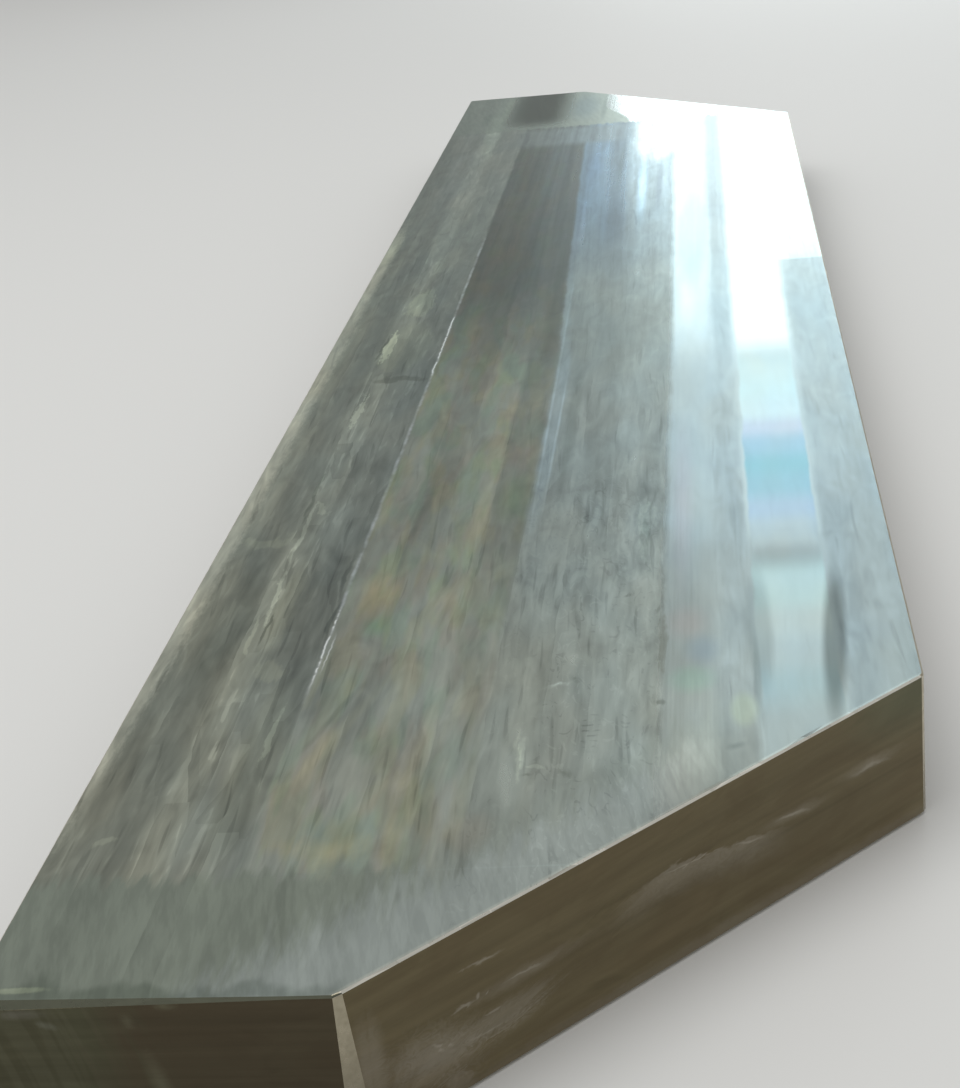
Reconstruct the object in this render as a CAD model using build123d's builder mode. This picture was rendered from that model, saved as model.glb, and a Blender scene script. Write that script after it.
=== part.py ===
from build123d import *
import math
import os

# A thick steel plate, forged and then milled all over. It is cut from one piece.
# One long side runs the full length between square corners. The other long side
# has both its corners cut off at 45 degrees, the same at each end.
# The origin is under the middle of the plate, on the plane of its underside.
# X runs across, with the cut corners on +X, Y runs along, and Z is up.

# Driving dimensions, in millimetres
LENGTH = 3120.0
WIDTH = 640.0
THICKNESS = 125.0
CORNER_CUT = 400.0  # along each side of a corner that is cut off

# Edge breaks, each measured along the faces that it takes off
TOP_BREAK = 1.5
BOTTOM_BREAK = 3.0
UPRIGHT_BREAK = 3.0

# A flat ground by hand down one upright corner, wider towards the bottom. Most of it
# is taken off the cut face: it is turned this far from the end face, and 45 would be
# the cut face itself.
GROUND_WIDTH_TOP = 7.0
GROUND_WIDTH_BOTTOM = 19.0
GROUND_TURN = 38.0

# A bevel filed by hand along the top edge of the same end. It is widest at the
# square corner and runs out into the edge break before it reaches the cut corner.
FILED_BEVEL_WIDE = 5.0
FILED_BEVEL_NARROW = 1.0

# The hand-finished end is the one on -Y. Its end face stops where the cut begins.
END_Y = -LENGTH / 2
SQUARE_CORNER_X = -WIDTH / 2
CUT_CORNER_X = WIDTH / 2 - CORNER_CUT

# At the cut corner the side turns by 45 degrees, in two steps: from the end face to
# the ground flat, and from the flat to the cut face.
CUT_TURN = 45.0
FIRST_STEP = math.radians(GROUND_TURN)
SECOND_STEP = math.radians(CUT_TURN - GROUND_TURN)
GROUND_OUTWARD = Vector(math.sin(FIRST_STEP), -math.cos(FIRST_STEP), 0)


def ground_depth(width):
    """How deep a flat of this width goes in from the sharp corner."""
    return width * math.sin(FIRST_STEP) * math.sin(SECOND_STEP) / math.sin(FIRST_STEP + SECOND_STEP)


def ground_plane():
    """The plane of the tapering flat, with its normal pointing away from the steel."""
    depth_top = ground_depth(GROUND_WIDTH_TOP)
    depth_bottom = ground_depth(GROUND_WIDTH_BOTTOM)
    corner_top = Vector(CUT_CORNER_X, END_Y, THICKNESS)
    lean = Vector(0, 0, depth_bottom - depth_top)
    return Plane(
        origin=corner_top - GROUND_OUTWARD * depth_top,
        z_dir=GROUND_OUTWARD * THICKNESS - lean,
    )


def filed_plane():
    """The plane of the tapering bevel, at 45 degrees to the top and the end face."""
    end_width = CUT_CORNER_X - SQUARE_CORNER_X
    taper = (FILED_BEVEL_NARROW - FILED_BEVEL_WIDE) / end_width
    return Plane(
        origin=(SQUARE_CORNER_X, END_Y + FILED_BEVEL_WIDE, THICKNESS),
        z_dir=(taper, -1, 1),
    )


# The plate
with BuildPart() as plate:
    with BuildSketch() as outline:
        Rectangle(WIDTH, LENGTH)
        far_side = outline.vertices().group_by(Axis.X)[-1]
        chamfer(far_side, length=CORNER_CUT)
    extrude(amount=THICKNESS)

    # The ground corner has no edge break of its own, so it is left out here.
    ground_corner = Vector(CUT_CORNER_X, END_Y, THICKNESS / 2)
    uprights = plate.edges().filter_by(Axis.Z)
    chamfer(uprights.sort_by_distance(ground_corner)[1:], length=UPRIGHT_BREAK)
    split(bisect_by=ground_plane(), keep=Keep.BOTTOM)

    top_edges = plate.faces().sort_by(Axis.Z)[-1].edges()
    chamfer(top_edges, length=TOP_BREAK)
    bottom_edges = plate.faces().sort_by(Axis.Z)[0].edges()
    chamfer(bottom_edges, length=BOTTOM_BREAK)
    split(bisect_by=filed_plane(), keep=Keep.BOTTOM)

plate.part.label = "plate"

os.makedirs("parts", exist_ok=True)
export_step(plate.part, "parts/plate.step")
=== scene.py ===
import math

import bmesh
import bpy
from bpy.props import FloatProperty, FloatVectorProperty, PointerProperty
from bpy.types import Operator, Panel, PropertyGroup
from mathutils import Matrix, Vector


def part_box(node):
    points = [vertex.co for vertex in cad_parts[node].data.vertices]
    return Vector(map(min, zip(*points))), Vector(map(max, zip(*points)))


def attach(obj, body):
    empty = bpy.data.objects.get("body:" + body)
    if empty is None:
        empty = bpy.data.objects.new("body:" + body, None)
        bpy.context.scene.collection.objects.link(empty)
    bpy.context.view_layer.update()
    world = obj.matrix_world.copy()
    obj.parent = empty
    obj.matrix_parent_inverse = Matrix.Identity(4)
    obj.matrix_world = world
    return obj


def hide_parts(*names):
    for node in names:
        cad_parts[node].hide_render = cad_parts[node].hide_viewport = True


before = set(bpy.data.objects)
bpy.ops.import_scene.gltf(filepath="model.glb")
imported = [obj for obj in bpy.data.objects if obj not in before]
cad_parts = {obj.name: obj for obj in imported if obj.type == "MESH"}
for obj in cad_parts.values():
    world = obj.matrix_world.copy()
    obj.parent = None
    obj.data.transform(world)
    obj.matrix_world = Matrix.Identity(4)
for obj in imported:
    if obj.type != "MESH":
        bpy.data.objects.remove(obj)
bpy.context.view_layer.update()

bl_info = {
    "name": "Milled steel plate",
    "version": (1, 0, 0),
    "blender": (4, 5, 0),
    "location": "3D View > Sidebar > Plate",
    "description": "A thick steel plate, milled in lengthwise passes, with two corners cut off",
    "category": "Object",
}

MM = 0.001

# The plate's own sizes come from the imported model. X runs across it from the
# straight side, Y along it from the hand-finished end, and Z up.
PLATE_LOW, PLATE_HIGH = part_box("plate")
PLATE_TOP = PLATE_HIGH.z

# In mm
WIDTH = (PLATE_HIGH.x - PLATE_LOW.x) / MM
LENGTH = (PLATE_HIGH.y - PLATE_LOW.y) / MM
CORNER_CUT = 400.0

# The directions that the plate's flat sides face
SLANT = math.sqrt(0.5)
SIDE_DIRECTIONS = [
    Vector(way)
    for way in ((-1, 0, 0), (1, 0, 0), (0, -1, 0), (0, 1, 0), (SLANT, -SLANT, 0), (SLANT, SLANT, 0))
]


class Lane:
    """One lengthwise pass of the cutter over the top face, or a part of one.

    edge is how far its right-hand edge is from the plate's straight side, in mm, and
    soft how wide its change to the next one is. depth is how far it lies under the
    highest one, in mm. near, middle and far are its steel in three parts of the length:
    how light it is, and how far it goes from greenish, 0, to bluish grey, 1. These shades
    are partly the steel's own tone and partly painted sheen, reflection and shade. rough
    and far_rough say how matt it is at the two ends. film, marks and flakes are how much
    of the oil film's tints, of the cutter's scribbles and of the patchy shine it has.
    """

    def __init__(
        self, edge, depth, near, middle, far, rough, far_rough, soft, film=0.0, marks=0.0, flakes=0.0
    ):
        self.edge = edge
        self.depth = depth
        self.near = steel_grey(*near)
        self.middle = steel_grey(*middle)
        self.far = steel_grey(*far)
        self.rough = rough
        self.far_rough = far_rough
        self.smooth = 1.0 if rough < 0.12 else 0.5 if rough < 0.2 else 0.0
        self.soft = soft
        self.film = film
        self.marks = marks
        self.flakes = flakes


def steel_grey(light, blue):
    """The colour of bare steel, from greenish grey at a blue of 0 to bluish grey at 1."""
    return light * (0.96 - 0.15 * blue), light, light * (0.82 + 0.25 * blue)


# The lanes' near, middle and far shades are partly painted sheen, reflection and shade
LANES = (
    Lane(35, 0.03, (0.28, 0.0), (0.33, 0.0), (0.28, 0.1), 0.36, 0.30, 8, flakes=0.5),
    Lane(68, 0.03, (0.28, 0.0), (0.255, 0.1), (0.285, 0.2), 0.36, 0.30, 8, flakes=0.5),
    Lane(96, 0.03, (0.40, 0.0), (0.325, 0.1), (0.36, 0.1), 0.38, 0.32, 6, flakes=1.0),
    Lane(120, 0.03, (0.32, 0.1), (0.265, 0.2), (0.28, 0.1), 0.36, 0.30, 8, flakes=0.8),
    Lane(147, 0.03, (0.27, 0.2), (0.22, 0.25), (0.265, 0.1), 0.36, 0.30, 3, flakes=0.8),
    Lane(186, 0.08, (0.37, 0.2), (0.32, 0.1), (0.11, 0.1), 0.31, 0.295, 10, film=1.0),
    Lane(220, 0.08, (0.36, 0.2), (0.255, 0.1), (0.09, 0.2), 0.31, 0.295, 6, film=1.0),
    Lane(262, 0.08, (0.39, 0.2), (0.31, 0.1), (0.09, 0.5), 0.31, 0.295, 8, film=1.0),
    Lane(299, 0.08, (0.365, 0.2), (0.22, 0.1), (0.06, 0.6), 0.31, 0.295, 5, film=0.7),
    Lane(345, 0.08, (0.36, 0.2), (0.31, 0.5), (0.22, 2.2), 0.29, 0.285, 10, marks=0.5),
    Lane(380, 0.08, (0.36, 0.3), (0.265, 0.5), (0.13, 2.2), 0.29, 0.285, 14, marks=1.0),
    Lane(436, 0.08, (0.37, 0.3), (0.285, 0.55), (0.37, 1.2), 0.29, 0.285, 8, marks=0.8, flakes=0.3),
    Lane(482, 0.06, (0.36, 0.45), (0.37, 0.9), (0.44, 0.9), 0.15, 0.12, 12),
    Lane(511, 0.08, (0.39, 0.55), (0.36, 0.9), (0.22, 1.1), 0.24, 0.16, 9),
    Lane(579, 0.06, (0.45, 0.7), (0.47, 0.8), (0.47, 0.8), 0.10, 0.10, 9),
    Lane(641, 0.08, (0.37, 0.8), (0.33, 0.9), (0.32, 0.9), 0.26, 0.20, 3, flakes=0.1),
)


# Nodes


class Field:
    """A number that varies over a surface, as the output of a node."""

    def __init__(self, nodes, socket):
        self.nodes = nodes
        self.socket = socket

    def __add__(self, other):
        return self.nodes.math("ADD", self, other)

    def __radd__(self, other):
        return self.nodes.math("ADD", self, other)

    def __sub__(self, other):
        return self.nodes.math("SUBTRACT", self, other)

    def __rsub__(self, other):
        return self.nodes.math("SUBTRACT", other, self)

    def __mul__(self, other):
        return self.nodes.math("MULTIPLY", self, other)

    def __truediv__(self, other):
        return self.nodes.math("DIVIDE", self, other)

    def or_more(self, other):
        """The larger of this field and another."""
        return self.nodes.math("MAXIMUM", self, other)

    def rise(self, low, high, floor=0.0, top=1.0):
        """Goes smoothly from floor to top while this field goes from low to high."""
        return self.nodes.mapped("SMOOTHSTEP", self, low, high, floor, top)

    def stretch(self, low, high, floor, top):
        """Goes evenly from floor to top while this field goes from low to high."""
        return self.nodes.mapped("LINEAR", self, low, high, floor, top)

    def within(self, low, high, soft):
        """Is 1 between low and high and 0 outside, with soft borders."""
        half = soft / 2
        return self.rise(low - half, low + half) * self.rise(high - half, high + half, 1.0, 0.0)


class Nodes:
    """Adds nodes to a new material and joins them up."""

    def __init__(self, name):
        self.material = bpy.data.materials.new(name)
        self.material.use_nodes = True
        self.tree = self.material.node_tree
        self.tree.nodes.clear()
        split = self.add("SeparateXYZ", {0: self.add("TexCoord").outputs["Object"]})
        self.x, self.y, self.z = (Field(self, socket) for socket in split.outputs)

    def add(self, kind, inputs=None, **settings):
        node = self.tree.nodes.new("ShaderNode" + kind)
        for name, value in settings.items():
            setattr(node, name, value)
        for name, value in (inputs or {}).items():
            self.feed(node.inputs[name], value)
        return node

    def feed(self, socket, value):
        if isinstance(value, Field):
            value = value.socket
        if isinstance(value, bpy.types.NodeSocket):
            self.tree.links.new(value, socket)
        elif socket.type == "RGBA":
            socket.default_value = (*value, 1.0)
        else:
            socket.default_value = value

    def math(self, operation, a, b):
        return Field(self, self.add("Math", {0: a, 1: b}, operation=operation).outputs[0])

    def mapped(self, kind, value, low, high, floor, top):
        inputs = {0: value, 1: low, 2: high, 3: floor, 4: top}
        return Field(self, self.add("MapRange", inputs, interpolation_type=kind).outputs[0])

    def vector(self, x, y, z=0.0):
        return self.add("CombineXYZ", {0: x, 1: y, 2: z}).outputs[0]

    def pattern_place(self, x, y, width, length, seed):
        """Where a point is in a pattern whose parts have this width and length, in mm."""
        return self.vector(x / width + seed * 7.3, y / length + seed * 3.1)

    def cloud(self, x, y, width, length, seed=0.0, detail=2.0, ragged=0.5, swirl=0.0):
        """Soft random streaks, from 0 to 1, of this width along x and length along y, in mm."""
        place = self.pattern_place(x, y, width, length, seed)
        inputs = {"Vector": place, "Scale": 1.0, "Detail": detail}
        inputs.update({"Roughness": ragged, "Distortion": swirl})
        node = self.add("TexNoise", inputs, noise_dimensions="2D")
        return Field(self, node.outputs["Fac"])

    def patches(self, x, y, width, length, seed):
        """Square patches of this width and length, in mm, each of another shade from 0 to 1."""
        inputs = {"Vector": self.pattern_place(x, y, width, length, seed), "Scale": 1.0}
        node = self.add("TexVoronoi", inputs, voronoi_dimensions="2D", distance="CHEBYCHEV")
        return self.parts(node.outputs["Color"])[0]

    def mask(self, place, dab, bites=0.0):
        """Is 1 in a dab's middle and 0 outside it. Bites, from 0 to 1, eat into a broken one."""
        ball = self.add("TexGradient", {"Vector": place}, gradient_type="SPHERICAL")
        # The node's own mapping renders faster than a Mapping node or vector maths would, and
        # leaves room in the material for all the dabs.
        oval = ball.texture_mapping
        oval.vector_type = "TEXTURE"
        oval.translation = (*dab.middle, 0.0)
        oval.rotation = (0.0, 0.0, dab.turn)
        oval.scale = (*dab.half_size, 1.0)
        inside = Field(self, ball.outputs["Fac"])
        if dab.broken:
            inside = inside - bites * dab.broken
        return inside.rise(0.0, dab.soft)

    def steps(self, value, stops, kind="CONSTANT"):
        """A colour, picked by value from stops, each a place and a colour."""
        node = self.add("ValToRGB", {0: value})
        ramp = node.color_ramp
        ramp.interpolation = kind
        while len(ramp.elements) < len(stops):
            ramp.elements.new(1.0)
        for element, (place, colour) in zip(ramp.elements, stops):
            element.position = place
            element.color = (*colour, 1.0)
        return node.outputs[0]

    def parts(self, colour):
        split = self.add("SeparateColor", {0: colour})
        return [Field(self, socket) for socket in split.outputs]

    def blend(self, factor, a, b, kind="MIX"):
        node = self.add("Mix", data_type="RGBA", blend_type=kind)
        self.feed(node.inputs[0], factor)
        self.feed(node.inputs[6], a)
        self.feed(node.inputs[7], b)
        return node.outputs[2]

    def tinted(self, factor, colour, tint):
        """The colour multiplied by a tint, as far as factor says."""
        return self.blend(factor, colour, tint, "MULTIPLY")

    def dim(self, colour, factor):
        """The colour made lighter or darker by a factor."""
        node = self.add("VectorMath", {0: colour}, operation="SCALE")
        self.feed(node.inputs["Scale"], factor)
        return node.outputs[0]

    def steel(self, colour, rough, height, relief, grain, anisotropy, rim=(1.0, 1.0, 1.0)):
        """Ends the material in bare metal.

        height is in units of relief, in mm, and rim is the tint seen at a low angle.
        """
        inputs = {"Strength": 1.0, "Distance": relief * MM, "Height": height}
        normal = self.add("Bump", inputs).outputs[0]
        inputs = {
            "Base Color": colour,
            "Metallic": 1.0,
            "Roughness": rough,
            "Specular Tint": rim,
            "Normal": normal,
            "Tangent": grain,
            "Anisotropic": anisotropy,
        }
        shader = self.add("BsdfPrincipled", inputs)
        self.add("OutputMaterial", {"Surface": shader.outputs[0]})
        return self.material


# Finishes


class Dab:
    """A lighter, darker or tinted patch of a face: an oval with soft edges.

    It is placed by its middle and its half sizes, in mm, and turned by degrees. On the
    top face these are across and along the plate, on a side face along and up. soft is
    the share of it that fades, and broken how far streaks eat into it.
    """

    def __init__(self, middle, half_size, tint, turn=0.0, soft=0.8, broken=0.0):
        self.middle = middle
        self.half_size = half_size
        self.tint = tint
        self.turn = math.radians(turn)
        self.soft = soft
        self.broken = broken


TOP_DABS = (
    # Scabs, scuffs and strokes in the first three lanes
    Dab((77, -180), (10, 90), (1.75, 1.76, 1.68), soft=0.15, broken=0.6),
    Dab((69, -185), (3, 75), (0.62, 0.62, 0.6), soft=0.4, broken=0.4),
    Dab((77, -430), (7, 95), (1.5, 1.52, 1.48), soft=0.15, broken=0.7),
    Dab((100, -190), (42, 130), (1.12, 1.12, 1.06), soft=0.3, broken=0.2),
    Dab((94, 10), (26, 95), (1.3, 1.3, 1.18), soft=0.25, broken=0.4),
    Dab((110, -316), (46, 18), (0.66, 0.66, 0.63), soft=0.4, broken=0.2),
    Dab((72, -700), (3, 120), (0.7, 0.72, 0.7), soft=0.4, broken=0.4),
    Dab((78, -800), (4, 120), (1.4, 1.42, 1.4), soft=0.25, broken=0.5),
    Dab((89, -735), (9, 26), (1.3, 1.3, 1.26), turn=25, soft=0.2, broken=0.7),
    Dab((82, -950), (4, 95), (1.5, 1.52, 1.5), turn=1, soft=0.3, broken=0.5),
    Dab((86, -1020), (2.5, 50), (0.55, 0.56, 0.54), turn=-2, soft=0.4, broken=0.3),
    Dab((76, -1030), (3, 70), (1.32, 1.33, 1.3), turn=3, soft=0.3, broken=0.5),
    # Painted shadow along the left side of the burr
    Dab((141, -900), (4, 70), (0.66, 0.68, 0.68), soft=0.5, broken=0.3),
    Dab((143, -1005), (3, 45), (0.66, 0.68, 0.68), soft=0.5, broken=0.3),
    Dab((38, -1372), (14, 9), (1.28, 1.28, 1.24), turn=10, soft=0.4, broken=0.4),
    Dab((96, -980), (18, 140), (1.14, 1.13, 1.08), soft=0.5, broken=0.3),
    Dab((108, -1100), (26, 20), (1.22, 1.2, 1.14), soft=0.4, broken=0.4),
    Dab((125, -990), (25, 150), (0.84, 0.85, 0.86), soft=0.3),
    Dab((131, -1215), (4, 75), (1.4, 1.42, 1.38), turn=-2, soft=0.3, broken=0.5),
    Dab((128, -1270), (26, 200), (1.1, 1.1, 1.05), soft=0.6),
    Dab((46, -812), (34, 20), (1.28, 1.28, 1.22), turn=-6, soft=0.4, broken=0.2),
    Dab((50, -1010), (24, 180), (0.9, 0.9, 0.88), soft=0.6),
    Dab((96, 200), (14, 70), (1.25, 1.26, 1.22), soft=0.5, broken=0.3),
    Dab((34, 790), (18, 70), (0.8, 0.82, 0.82), soft=0.6),
    Dab((85, 1180), (22, 330), (1.1, 1.12, 1.08), turn=2, soft=0.6),
    # The near edge: a darker strip. Its light stroke near the square corner is among the blurred
    # patches.
    Dab((130, -1558), (175, 24), (0.7, 0.72, 0.7), soft=0.6),
    # Oil film and strokes in the two lanes that have it
    Dab((178, -960), (34, 95), (1.13, 1.03, 0.88), soft=1, broken=0.2),
    Dab((186, -1028), (19, 34), (0.89, 1.05, 0.92), soft=1),
    Dab((176, -1190), (5, 75), (0.82, 0.82, 0.82), turn=-17),
    Dab((251, -1245), (5, 130), (0.83, 0.83, 0.83), turn=6.5),
    Dab((187, -1213), (9, 105), (1.15, 1.13, 1.07), turn=-17),
    Dab((254, -800), (13, 150), (1.13, 1.11, 0.98), soft=0.7),
    Dab((254, -1315), (13, 150), (1.14, 1.11, 1.0), soft=0.7),
    Dab((282, -600), (24, 70), (1.13, 0.95, 0.92), soft=0.9),
    Dab((282, -725), (24, 100), (0.93, 1.04, 0.9), soft=0.9),
    Dab((195, -720), (7, 170), (0.82, 0.83, 0.82), turn=-2),
    Dab((205, -1388), (66, 36), (1.18, 1.07, 0.94), broken=0.3),
    Dab((302, -1370), (26, 40), (1.08, 1.0, 0.96)),
    Dab((196, 290), (34, 160), (1.06, 0.97, 0.92), soft=0.9),
    Dab((192, -150), (30, 120), (1.1, 0.98, 0.9), soft=0.9),
    Dab((186, -20), (28, 70), (0.94, 1.02, 0.95), soft=0.9),
    Dab((222, -20), (6, 400), (0.72, 0.74, 0.72)),
    # Painted highlights along the borders of the narrow blue lane, and a darker band left of it
    Dab((303, -20), (7, 330), (1.22, 1.28, 1.36)),
    Dab((287, -100), (14, 360), (0.68, 0.69, 0.67), soft=0.7),
    Dab((308, -470), (11, 420), (1.14, 1.2, 1.3), soft=0.6),
    # Strokes and dents among the cutter's scribbles
    Dab((353, -1152), (18, 6), (1.3, 1.32, 1.34), turn=12, soft=0.9, broken=0.3),
    Dab((352, -1151), (10, 2.5), (1.25, 1.28, 1.3), turn=9, broken=0.4),
    Dab((366, -1144), (8, 15), (0.72, 0.74, 0.72), turn=25, soft=0.9, broken=0.5),
    Dab((333, -1262), (4, 48), (1.26, 1.27, 1.24), soft=0.4, broken=0.4),
    Dab((337, -1304), (9, 5), (0.72, 0.73, 0.7), turn=30, soft=0.9, broken=0.4),
    Dab((368, -1292), (6, 22), (0.75, 0.76, 0.73), turn=20, broken=0.5),
    Dab((344, -1290), (10, 4), (1.22, 1.23, 1.2), turn=-20, soft=0.5),
    Dab((436, -1182), (10, 15), (0.6, 0.6, 0.58), turn=30, broken=0.7),
    Dab((406, -984), (9, 9), (0.62, 0.62, 0.6), broken=0.7),
    Dab((431, -1018), (5, 16), (0.62, 0.62, 0.6), turn=-12, broken=0.6),
    Dab((422, -1050), (8, 60), (1.14, 1.13, 1.12), soft=0.7, broken=0.4),
    Dab((414, -775), (5, 60), (1.2, 1.2, 1.18), turn=-6, soft=0.6, broken=0.3),
    Dab((424, -800), (4, 55), (1.18, 1.18, 1.16), turn=10, soft=0.6, broken=0.3),
    Dab((417, -835), (4, 35), (0.78, 0.8, 0.8), turn=4, soft=0.5),
    Dab((416, -835), (14, 150), (1.2, 1.22, 1.18), turn=2, soft=0.6, broken=0.6),
    Dab((436, -1085), (6, 120), (0.8, 0.78, 0.74), soft=0.5, broken=0.6),
    Dab((330, -1270), (5, 80), (1.22, 1.22, 1.18), soft=0.5, broken=0.6),
    Dab((329, -500), (11, 300), (0.72, 0.73, 0.72)),
)

# Where the cutter left a row of short crosswise ticks
HATCHED = Dab((383, -1230), (9, 38), (1.0, 1.0, 1.0), soft=0.4)

# Blurred patches, mostly painted light: painted reflections, highlights and shadows in the
# smooth lanes and along thin lines, and painted sheen and shade at the far end; a few are the
# steel's own strokes and tones
SHEEN_DABS = (
    Dab((451, -760), (16, 300), (1.05, 0.96, 1.0), soft=1),
    Dab((458, -1065), (34, 140), (0.86, 0.84, 0.83), soft=0.6),
    Dab((455, -1290), (44, 90), (1.12, 1.08, 1.04), soft=0.9),
    Dab((420, -1290), (38, 90), (1.1, 1.12, 1.14), soft=0.9),
    Dab((456, -1045), (26, 48), (1.09, 0.97, 0.96), soft=0.9),
    Dab((468, -1098), (20, 42), (0.87, 0.93, 1.03), soft=0.9),
    Dab((460, -1150), (26, 34), (0.92, 1.08, 1.0)),
    # A painted darker bar across the smooth lanes, where the window's frame is reflected
    Dab((540, -903), (60, 60), (0.9, 0.9, 0.9), turn=3, soft=0.9),
    # Painted highlights: two thin bright lines along the narrow blue lane
    Dab((302, -350), (2.4, 640), (1.26, 1.28, 1.32), turn=0.4),
    Dab((314.5, -560), (2.2, 270), (1.36, 1.38, 1.42)),
    # Painted shade narrows the smoothest lane's reflection at its near end, with a painted shadow
    # along its right side
    Dab((516, -1065), (15, 150), (0.72, 0.73, 0.73), soft=0.6),
    Dab((576, -1090), (13, 185), (0.44, 0.44, 0.43), turn=-3.4, soft=0.6),
    Dab((512, -1150), (4, 110), (0.78, 0.8, 0.8), soft=0.7),
    Dab((500, -1205), (14, 36), (1.18, 1.2, 1.06), soft=0.6),
    Dab((493, -1262), (15, 8), (0.72, 0.74, 0.74), turn=30, soft=1, broken=0.3),
    Dab((30, -1546), (34, 5), (1.6, 1.58, 1.44), turn=2, soft=0.5, broken=0.3),
    Dab((461, 300), (26, 360), (0.76, 0.93, 0.97), soft=0.5),
    Dab((455, -70), (18, 150), (1.25, 1.2, 1.15), soft=1),
    Dab((497, -20), (20, 360), (0.78, 0.83, 0.86), soft=0.6),
    Dab((610, -70), (46, 360), (0.74, 0.78, 0.8), soft=0.7),
    Dab((360, 230), (84, 270), (0.8, 0.82, 0.84), soft=0.7),
    Dab((8, 880), (22, 430), (0.8, 0.82, 0.82), soft=0.6),
    Dab((186, 300), (56, 480), (1.08, 1.0, 0.87)),
    Dab((188, 830), (36, 260), (0.78, 0.81, 0.77)),
    Dab((184, 700), (21, 330), (0.86, 0.82, 0.78)),
    Dab((250, 760), (9, 330), (0.8, 0.81, 0.81)),
    Dab((292, 800), (24, 230), (0.92, 0.98, 1.08)),
    Dab((232, 880), (30, 300), (0.93, 1.0, 1.1)),
    Dab((8, 330), (16, 150), (1.2, 1.2, 1.12), soft=0.7),
    Dab((224, 330), (7, 420), (0.66, 0.68, 0.64)),
    Dab((276, 180), (10, 200), (0.8, 0.85, 0.78)),
    Dab((291, 390), (13, 230), (1.3, 1.24, 1.3)),
    Dab((340, 400), (26, 200), (0.78, 0.86, 0.95), soft=0.7),
    Dab((380, 600), (13, 330), (1.6, 1.75, 1.9), soft=0.9),
    Dab((408, 640), (9, 270), (0.52, 0.54, 0.6), soft=0.9),
    Dab((340, 830), (8, 260), (0.55, 0.63, 0.61), soft=0.9),
    Dab((258, 700), (7, 400), (1.35, 1.35, 1.25), soft=0.9),
    Dab((218, 800), (6, 330), (1.3, 1.38, 1.4), soft=0.9),
    Dab((398, 1060), (50, 290), (2.3, 2.0, 1.9), soft=0.4),
    Dab((121, 1440), (22, 190), (0.74, 0.8, 0.74), soft=0.7),
    Dab((92, 1440), (14, 190), (1.14, 1.16, 1.1)),
    Dab((58, 1330), (14, 90), (0.78, 0.82, 0.8), soft=0.9),
    Dab((250, 1390), (44, 190), (0.68, 0.76, 0.88)),
    Dab((289, 1360), (8, 190), (0.6, 0.64, 0.64)),
)

# Painted tints of the window's reflection along the smoothest lane, as its finest grooves colour it,
# from the near end, in mm
REFLECTION_TINTS = (
    (-1230, (0.78, 0.78, 0.78)),
    (-1165, (0.78, 0.88, 0.92)),
    (-1110, (0.9, 0.92, 0.93)),
    (-1050, (1.04, 1.03, 1.0)),
    (-1000, (1.04, 1.13, 1.1)),
    (-950, (1.08, 1.2, 1.2)),
    (-890, (1.02, 1.03, 1.04)),
    (-850, (0.80, 0.83, 0.88)),
    (-800, (0.70, 0.79, 0.97)),
    (-740, (0.53, 0.77, 0.90)),
    (-680, (0.47, 0.77, 0.87)),
    (-620, (0.62, 0.81, 0.97)),
    (-570, (0.95, 0.93, 1.08)),
    (-520, (1.12, 1.18, 1.21)),
    (-440, (1.08, 1.2, 1.22)),
    (-350, (1.16, 1.22, 1.2)),
    (-270, (1.15, 1.12, 1.1)),
    (-180, (1.0, 1.0, 1.0)),
)

# Tints of the oil film's patches, each with a seed
OIL_PATCHES = (
    (11.0, (0.89, 1.02, 0.93)),
    (13.0, (1.07, 0.97, 0.94)),
    (16.0, (1.06, 1.02, 0.86)),
)

COOL_TO_WARM = ((0.35, (0.98, 1.0, 1.02)), (0.65, (1.02, 1.0, 0.98)))

# Steel of the passes at the two ends and along the near cut side, and of the far strip
END_STEEL = (0.270, 0.302, 0.250)
CUT_SIDE_STEEL = (0.39, 0.43, 0.40)
STRIP_STEEL = steel_grey(0.22, 0.4)
STRIP_BLUE_STEEL = steel_grey(0.20, 1.2)
# Painted reflection: the window's white in the far end's mirror-bright patch
FAR_END_REFLECTION_WHITE = (0.78, 0.82, 0.80)
FAR_END_ROUGH = 0.14

# The burr between two lanes, and its fork: how far they are across, in mm
BURR_ACROSS = 147.2
FORK_ACROSS = 151.5
# The burr's colour: bare steel, partly a painted highlight
BURR_STEEL = (0.95, 0.97, 0.95)
RUBBED_BURR_STEEL = (0.72, 0.76, 0.80)

# How deep the marks of the faces are, in mm, and the top's tint at a low angle
TOP_RELIEF = 0.05
TOP_RIM_TINT = (0.76, 0.80, 0.79)
SIDE_RELIEF = 0.04


class TopPlace:
    """Where a point of the top face is, in mm: across from the straight side, and along."""

    def __init__(self, nodes):
        self.across = (nodes.x - PLATE_LOW.x) / MM
        self.along = nodes.y / MM
        self.length_share = self.along / LENGTH + 0.5

        # Lane edges wander a little, and in the far half the middle ones lean to the left.
        unsteady = nodes.cloud(self.across, self.along, 30, 55, 21.0, 3.0) - 0.5
        leaning = self.across.stretch(190, 260, 0.0, 1.0) * self.across.stretch(360, 450, 1.0, 0.0)
        lean = self.along.stretch(-300, 1000, 0.0, 32.0) * leaning
        self.lane_across = self.across + unsteady * 5.0 + lean
        self.width_share = self.lane_across / WIDTH
        drift = nodes.cloud(self.across, self.along, 50, 260, 22.0) - 0.5
        self.streak_across = self.across + drift * 14.0
        self.plain = nodes.vector(self.across, self.along)
        ragged_along = self.along + drift * 40.0 + unsteady * 40.0
        self.ragged = nodes.vector(self.lane_across + unsteady * 6.0, ragged_along)


def lane_stops(value, soft=True):
    """Stops of a colour ramp over the plate's width, with a value worked out for each lane."""
    stops = []
    start = 0.0
    for lane in LANES:
        half_change = lane.soft / 2 if soft else 0.0
        stops.append((start / WIDTH, value(lane)))
        if soft:
            stops.append(((lane.edge - half_change) / WIDTH, value(lane)))
        start = lane.edge + half_change
    return stops


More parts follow.
